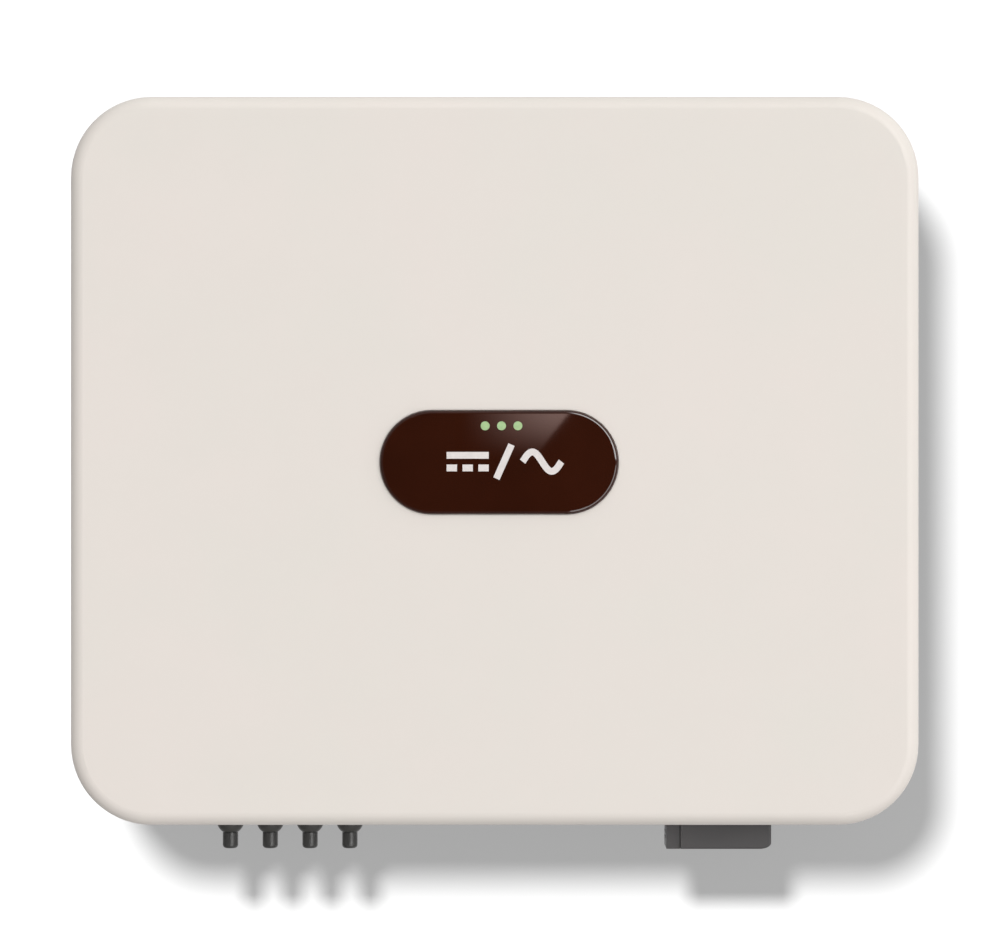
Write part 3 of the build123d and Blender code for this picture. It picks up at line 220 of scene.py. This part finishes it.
def galvanised_steel():
    """Hot-dip galvanised sheet: large crystal spangles, each with its own sheen, and faint scratches."""
    s = Shader("bracket_steel_finish")
    base = (0.50, 0.515, 0.53)
    grains = s.cells(150.0, output="Color", place=s.stretched((1.0, 1.0, 0.7)))
    split = s.node("ShaderNodeSeparateColor")
    s.link(grains, split.inputs["Color"])
    s.colour(s.mixed(split.outputs["Red"], tint(base, 0.90), tint(base, 1.08)))
    s.rough(s.span(split.outputs["Green"], 0.32, 0.46, 0.0, 1.0))
    scratches = s.noise(1.0, 2.0, place=s.stretched((30.0, 900.0, 900.0)))
    s.bumps((split.outputs["Blue"], 0.12, 0.05 * MM), (scratches, 0.12, 0.02 * MM))
    s.set(Metallic=0.85)
    return s.material


def zinc_plate(name="plated_steel_finish", colour=(0.60, 0.60, 0.57), rough=0.3):
    """Bright zinc on small steel parts, with turning marks and a faint yellow cast in places."""
    s = Shader(name)
    yellowed = (colour[0], colour[1] * 0.97, colour[2] * 0.90)
    s.colour(s.mixed(s.span(s.noise(160.0, 3.0), 0.0, 1.0), colour, yellowed))
    s.rough(s.span(s.noise(520.0, 3.0), rough - 0.06, rough + 0.14))
    s.bumps((s.noise(1200.0, 2.0), 0.2, 0.03 * MM))
    s.set(Metallic=0.95)
    return s.material


def rubber():
    """Black moulded rubber with a dusty bloom."""
    s = Shader("seal_rubber_finish")
    dust = s.span(s.noise(70.0, 4.0), 0.0, 1.0, 0.45, 0.75)
    s.colour(s.mixed(dust, (0.022, 0.022, 0.023), (0.062, 0.060, 0.058)))
    s.rough(s.span(s.noise(300.0, 3.0), 0.68, 0.88))
    s.bumps((s.noise(800.0, 3.0), 0.35, 0.06 * MM))
    s.set(IOR=1.5)
    return s.material


def circuit_board():
    """Green solder mask over copper tracks."""
    s = Shader("board_green_finish")
    tracks = s.cells(140.0, feature="DISTANCE_TO_EDGE", place=s.stretched((1.0, 0.05, 1.0)))
    lines = s.span(tracks, 1.0, 0.0, 0.02, 0.06)
    green = s.mixed(s.span(s.noise(20.0, 2.0), 0.0, 1.0), (0.012, 0.085, 0.035), (0.018, 0.12, 0.05))
    s.colour(s.mixed(lines, green, (0.05, 0.22, 0.09)))
    s.rough(s.span(s.noise(500.0, 2.0), 0.25, 0.4))
    s.bumps((lines, 0.3, 0.03 * MM))
    return s.material


def clear_plastic():
    s = Shader("clear_pipe_finish")
    s.colour(s.mixed(s.noise(60.0), (0.92, 0.95, 0.94), (0.99, 1.0, 0.99)))
    s.rough(s.span(s.noise(300.0), 0.03, 0.10))
    s.set(Transmission_Weight=0.95, IOR=1.49)
    return s.material


def sleeved(name, colour, rough):
    """Shrink sleeve, cable sheath or lacquered wire: smooth, with faint waves."""
    s = Shader(name)
    s.colour(s.mixed(s.span(s.noise(90.0, 3.0), 0.0, 1.0), tint(colour, 0.85), tint(colour, 1.15)))
    s.rough(s.span(s.noise(300.0, 3.0), rough - 0.06, rough + 0.1))
    s.bumps((s.noise(240.0, 2.0), 0.2, 0.05 * MM))
    return s.material


finishes = {
    "cover_cream": cover_plastic(),
    "plate_brown": plate_gloss(),
    "emblem_grey": printed_ink(),
    "light_green": light_lens(),
    "clear_pipe": clear_plastic(),
    "cast_grey": painted_casting("cast_grey_finish", (0.40, 0.395, 0.385)),
    "sink_aluminium": extruded_aluminium(),
    "bracket_steel": galvanised_steel(),
    "plated_steel": zinc_plate(),
    "seal_rubber": rubber(),
    "terminal_black": moulded("terminal_black_finish", (0.066, 0.064, 0.060), 0.42, depth=0.05, spread=0.12),
    "cap_grey": moulded("cap_grey_finish", (0.058, 0.057, 0.055), 0.33, ior=1.6, depth=0.03, spread=0.10),
    "block_grey": moulded("block_grey_finish", (0.088, 0.084, 0.085), 0.50, depth=0.05, spread=0.08),
    "contact_metal": zinc_plate("contact_metal_finish", (0.80, 0.72, 0.52), 0.2),
    "knob_black": moulded("knob_black_finish", (0.035, 0.035, 0.036), 0.36, depth=0.04, spread=0.1),
    "switch_grey": moulded("switch_grey_finish", (0.52, 0.52, 0.51), 0.48),
    "board_green": circuit_board(),
    "module_black": moulded("module_black_finish", (0.02, 0.02, 0.021), 0.5),
    "winding_block": moulded("winding_block_finish", (0.035, 0.033, 0.03), 0.6, grain=500.0, depth=0.2),
    "capacitor_sleeve": sleeved("capacitor_sleeve_finish", (0.02, 0.025, 0.07), 0.25),
    "relay_blue": moulded("relay_blue_finish", (0.04, 0.08, 0.22), 0.4),
    "film_yellow": moulded("film_yellow_finish", (0.60, 0.40, 0.06), 0.35),
    "choke_green": sleeved("choke_green_finish", (0.04, 0.17, 0.08), 0.4),
    "lead_red": sleeved("lead_red_finish", (0.30, 0.02, 0.015), 0.4),
    "lead_brown": sleeved("lead_brown_finish", (0.14, 0.06, 0.03), 0.4),
}
for entry in frame["record"]["subparts"]:
    mesh = nodes[entry["node"]].data
    mesh.materials.clear()
    mesh.materials.append(finishes[entry["material_slot"]])


# ---- stage: a wall and a floor, which only the camera sees, and only from their front ----
wall_glow = 0.34                # what is left of the wall's light in the deepest shadow
wall_albedo = 0.10
floor_glow = 0.40
floor_albedo = 0.5
floor_drop = 1.25               # of the floor below the wall bolts
wall_reach = 5.0
floor_reach = 40.0
wall_gap = 0.0005               # between the bracket's rear and the wall


def stage_material(name, glow, albedo):
    """Pale and matte, with some glow of its own. It is see-through from behind and to every other ray."""
    material = bpy.data.materials.new(name)
    material.use_nodes = True
    tree = material.node_tree
    tree.nodes.clear()
    out = tree.nodes.new("ShaderNodeOutputMaterial")
    mix, add = tree.nodes.new("ShaderNodeMixShader"), tree.nodes.new("ShaderNodeAddShader")
    matte, light = tree.nodes.new("ShaderNodeBsdfDiffuse"), tree.nodes.new("ShaderNodeEmission")
    clear, side = tree.nodes.new("ShaderNodeBsdfTransparent"), tree.nodes.new("ShaderNodeNewGeometry")
    rays, front = tree.nodes.new("ShaderNodeLightPath"), tree.nodes.new("ShaderNodeMath")
    front.operation = "SUBTRACT"
    front.use_clamp = True
    matte.inputs["Color"].default_value = (albedo, albedo, albedo, 1)
    light.inputs["Color"].default_value = (1, 1, 1, 1)
    light.inputs["Strength"].default_value = glow
    tree.links.new(matte.outputs[0], add.inputs[0])
    tree.links.new(light.outputs[0], add.inputs[1])
    tree.links.new(rays.outputs["Is Camera Ray"], front.inputs[0])
    tree.links.new(side.outputs["Backfacing"], front.inputs[1])
    tree.links.new(front.outputs[0], mix.inputs[0])
    tree.links.new(clear.outputs[0], mix.inputs[1])
    tree.links.new(add.outputs[0], mix.inputs[2])
    tree.links.new(mix.outputs[0], out.inputs[0])
    return material


def stage_plane(name, corners, material):
    mesh = bpy.data.meshes.new(name)
    mesh.from_pydata(corners, [], [tuple(range(len(corners)))])
    mesh.materials.append(material)
    plane = bpy.data.objects.new(name, mesh)
    bpy.context.scene.collection.objects.link(plane)
    plane.visible_shadow = False
    return plane


side, far = wall_reach, floor_reach
wall_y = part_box("wall_bracket")[1].y + wall_gap
wall_corners = [(-side, wall_y, -floor_drop), (side, wall_y, -floor_drop),
                (side, wall_y, side), (-side, wall_y, side)]
floor_corners = [(-far, -far, -floor_drop), (far, -far, -floor_drop),
                 (far, far, -floor_drop), (-far, far, -floor_drop)]
wall = stage_plane("wall", wall_corners, stage_material("wall_paint", wall_glow, wall_albedo))
stage_plane("floor", floor_corners, stage_material("floor_paint", floor_glow, floor_albedo))


# ---- light: levels of the studio by direction, where X is right, Z is up and -Y is ahead of the cover ----
matte_level = 1.005
matte_slope = (0.36, 0.12, 0.24)    # more light from the right, from ahead and from above
left_dim = 0.25                     # of the light from the far left and from far below, what is left
below_dim = 0.40
behind_dim = 0.45
behind_fill = 0.6                   # and a fill from straight behind
room_level = 0.20                   # what glossy surfaces mirror
room_slope = (0.08, 0.10)
room_fill = 0.7
upper_boxes = 5.4
lower_boxes = 2.2
boxes_inside = (12, 16)             # degrees from straight ahead, where the boxes begin and end
boxes_outside = (48, 40)
gap_ahead = (26, 12)
gap_level = 0.03
sun_energy = 23.5
sun_angle = 11.0
sun_direction = (-0.217, -1.0, 0.344)


class Sums:
    """Arithmetic with the nodes of a world."""

    def __init__(self, tree):
        self.tree = tree

    def do(self, kind, a, b):
        made = self.tree.nodes.new("ShaderNodeMath")
        made.operation = kind
        for socket, value in zip(made.inputs, (a, b)):
            if isinstance(value, (int, float)):
                socket.default_value = value
            else:
                self.tree.links.new(value, socket)
        return made.outputs[0]

    def total(self, *terms):
        """The sum of constants, outputs, and (output, factor) pairs."""
        result = 0.0
        for term in terms:
            part = self.do("MULTIPLY", *term) if isinstance(term, tuple) else term
            result = self.do("ADD", part, result)
        return result

    def product(self, first, *others):
        result = first
        for other in others:
            result = self.do("MULTIPLY", result, other)
        return result

    def step(self, value, start, stop, low=0.0, high=1.0):
        """Rises smoothly from low to high as the value goes from start to stop."""
        made = self.tree.nodes.new("ShaderNodeMapRange")
        made.interpolation_type = "SMOOTHSTEP"
        self.tree.links.new(value, made.inputs["Value"])
        ends = {"From Min": start, "From Max": stop, "To Min": low, "To Max": high}
        for name, end in ends.items():
            made.inputs[name].default_value = end
        return made.outputs["Result"]


def cosine(degrees):
    return math.cos(math.radians(degrees))


def world_light():
    """A studio around the object. The camera sees white. Matte surfaces are lit by a soft gradient, from
    the right and above most of all. Glossy ones mirror a dim room, with an arc of softboxes to the right
    and a dark gap straight ahead of the cover, which keeps the display plate deep."""
    world = bpy.data.worlds.new("studio")
    bpy.context.scene.world = world
    world.use_nodes = True
    world.cycles.sampling_method = "NONE"
    tree = world.node_tree
    tree.nodes.clear()
    sums = Sums(tree)
    place, axes = tree.nodes.new("ShaderNodeTexCoord"), tree.nodes.new("ShaderNodeSeparateXYZ")
    tree.links.new(place.outputs["Generated"], axes.inputs[0])
    x, y, z = axes.outputs
    ahead = sums.do("MULTIPLY", y, -1.0)
    behind = sums.do("MAXIMUM", y, 0.0)
    behind_squared = sums.do("MULTIPLY", behind, behind)

    gradient = sums.total(matte_level, (x, matte_slope[0]), (ahead, matte_slope[1]), (z, matte_slope[2]))
    from_left = sums.step(x, -0.55, -0.98, 1.0, left_dim)
    from_below = sums.step(z, -0.55, -0.98, 1.0, below_dim)
    from_behind = sums.step(y, 0.0, 0.15, 1.0, behind_dim)
    dimmed = sums.product(gradient, from_left, from_below, from_behind)
    matte = sums.total(dimmed, (behind_squared, behind_fill))

    outer = sums.step(ahead, cosine(boxes_outside[0]), cosine(boxes_outside[1]))
    inner = sums.step(ahead, cosine(boxes_inside[0]), cosine(boxes_inside[1]))
    right = sums.step(x, 0.02, 0.12)
    upper = sums.step(z, 0.01, 0.05)
    lower = sums.step(z, -0.01, -0.05)
    boxes = sums.product(outer, inner, right, sums.total((upper, upper_boxes), (lower, lower_boxes)))
    room = sums.total(room_level, (behind_squared, room_fill), (x, room_slope[0]), (z, room_slope[1]))
    gap = sums.step(ahead, cosine(gap_ahead[0]), cosine(gap_ahead[1]), 1.0, gap_level)
    glossy = sums.do("MAXIMUM", sums.total(sums.product(room, gap), boxes), 0.0)

    rays, out = tree.nodes.new("ShaderNodeLightPath"), tree.nodes.new("ShaderNodeOutputWorld")
    shader = None
    for level, seen_by in ((matte, None), (glossy, "Is Glossy Ray"), (1.0, "Is Camera Ray")):
        light = tree.nodes.new("ShaderNodeBackground")
        light.inputs["Color"].default_value = (1, 1, 1, 1)
        if seen_by == "Is Camera Ray":
            light.inputs["Strength"].default_value = level
        else:
            tree.links.new(level, light.inputs["Strength"])
        if seen_by is None:
            shader = light.outputs[0]
            continue
        mix = tree.nodes.new("ShaderNodeMixShader")
        tree.links.new(rays.outputs[seen_by], mix.inputs[0])
        tree.links.new(shader, mix.inputs[1])
        tree.links.new(light.outputs[0], mix.inputs[2])
        shader = mix.outputs[0]
    tree.links.new(shader, out.inputs[0])


world_light()


def wall_sun():
    """A sun that lights the wall alone, so that the object's shadow falls down and to the right on it."""
    data = bpy.data.lights.new("shadow_sun", "SUN")
    data.energy = sun_energy
    data.angle = math.radians(sun_angle)
    sun = bpy.data.objects.new("shadow_sun", data)
    bpy.context.scene.collection.objects.link(sun)
    sun.rotation_euler = Vector(sun_direction).to_track_quat("Z", "Y").to_euler()
    wall_only = bpy.data.collections.new("wall_only")
    wall_only.objects.link(wall)
    sun.light_linking.receiver_collection = wall_only


wall_sun()


def shadow_card():
    """A card in front of the wall which only the sun sees. It draws the terminals' shadows further down."""
    stand = wall_y - 0.07
    drop = 0.0188
    taller = 0.02
    moves = {name: (-0.0045, 0.0015) for name in nodes if name.startswith("pv") and name.endswith("cap")}
    moves["ac_cap"] = (-0.0009, 0.0055)
    corners = []
    for name, (shift, wider) in moves.items():
        low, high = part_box(name)
        left, right = low.x + shift - wider, high.x + shift + wider
        bottom, top = low.z - drop, high.z - drop + taller
        corners += [(left, stand, bottom), (right, stand, bottom), (right, stand, top), (left, stand, top)]
    mesh = bpy.data.meshes.new("shadow_card")
    mesh.from_pydata(corners, [], [tuple(range(i, i + 4)) for i in range(0, len(corners), 4)])
    mesh.materials.append(bpy.data.materials.new("card_black"))
    card = bpy.data.objects.new("shadow_card", mesh)
    bpy.context.scene.collection.objects.link(card)
    card.visible_camera = False
    card.visible_diffuse = False
    card.visible_glossy = False
    card.visible_transmission = False


shadow_card()


def reflected_card():
    """A dim card behind the camera, whose slanting edge the plate mirrors. It fades away from that edge."""
    behind_camera = 0.15
    warm = (1.0, 0.70, 0.63, 1)
    strength = 2.12
    seen = [(-0.027, 0.006), (0.0190, 0.006), (0.0455, 0.040), (-0.027, 0.040)]   # on the plate, X and Z
    reach = camera_distance + behind_camera
    scale = (2 * reach - behind_camera) / camera_distance
    corners = [(camera_x + x * scale, plate_face - reach, camera_z + z * scale) for x, z in seen]
    mesh = bpy.data.meshes.new("card")
    mesh.from_pydata(corners, [], [(0, 3, 2, 1)])
    material = bpy.data.materials.new("card_light")
    material.use_nodes = True
    tree = material.node_tree
    tree.nodes.clear()
    out, light = tree.nodes.new("ShaderNodeOutputMaterial"), tree.nodes.new("ShaderNodeEmission")
    place, axes = tree.nodes.new("ShaderNodeTexCoord"), tree.nodes.new("ShaderNodeSeparateXYZ")
    tree.links.new(place.outputs["Object"], axes.inputs[0])
    fades = []
    for output, low, high in ((axes.outputs["X"], corners[0][0], corners[2][0]),
                              (axes.outputs["Z"], corners[0][2], corners[2][2])):
        fade = tree.nodes.new("ShaderNodeMapRange")
        fade.interpolation_type = "SMOOTHSTEP"
        tree.links.new(output, fade.inputs["Value"])
        fade.inputs["From Min"].default_value, fade.inputs["From Max"].default_value = low, high
        fades.append(fade.outputs["Result"])
    both, strong = tree.nodes.new("ShaderNodeMath"), tree.nodes.new("ShaderNodeMath")
    both.operation = strong.operation = "MULTIPLY"
    tree.links.new(fades[0], both.inputs[0])
    tree.links.new(fades[1], both.inputs[1])
    tree.links.new(both.outputs[0], strong.inputs[0])
    strong.inputs[1].default_value = strength
    light.inputs["Color"].default_value = warm
    tree.links.new(strong.outputs[0], light.inputs["Strength"])
    tree.links.new(light.outputs[0], out.inputs[0])
    mesh.materials.append(material)
    card = bpy.data.objects.new("card", mesh)
    bpy.context.scene.collection.objects.link(card)
    card.visible_camera = False
    card.visible_diffuse = False
    card.visible_shadow = False


# ---- camera ----
camera_distance = 3.0           # from the plane of the cover's outline
outline_depth = 0.008           # of that plane behind the cover's face
camera_x = cover_middle.x + 0.00325
camera_z = cover_middle.z - 0.0066
view_width = 0.6195             # of the picture, at that plane

camera_data = bpy.data.cameras.new("camera")
camera = bpy.data.objects.new("camera", camera_data)
bpy.context.scene.collection.objects.link(camera)
camera_data.sensor_width = 36.0
camera_data.lens = camera_data.sensor_width * camera_distance / view_width
camera_data.clip_end = 50.0
camera.location = (camera_x, cover_low.y + outline_depth - camera_distance, camera_z)
camera.rotation_euler = (math.pi / 2, 0, 0)
bpy.context.scene.camera = camera
bpy.context.scene.view_settings.view_transform = "Standard"
reflected_card()
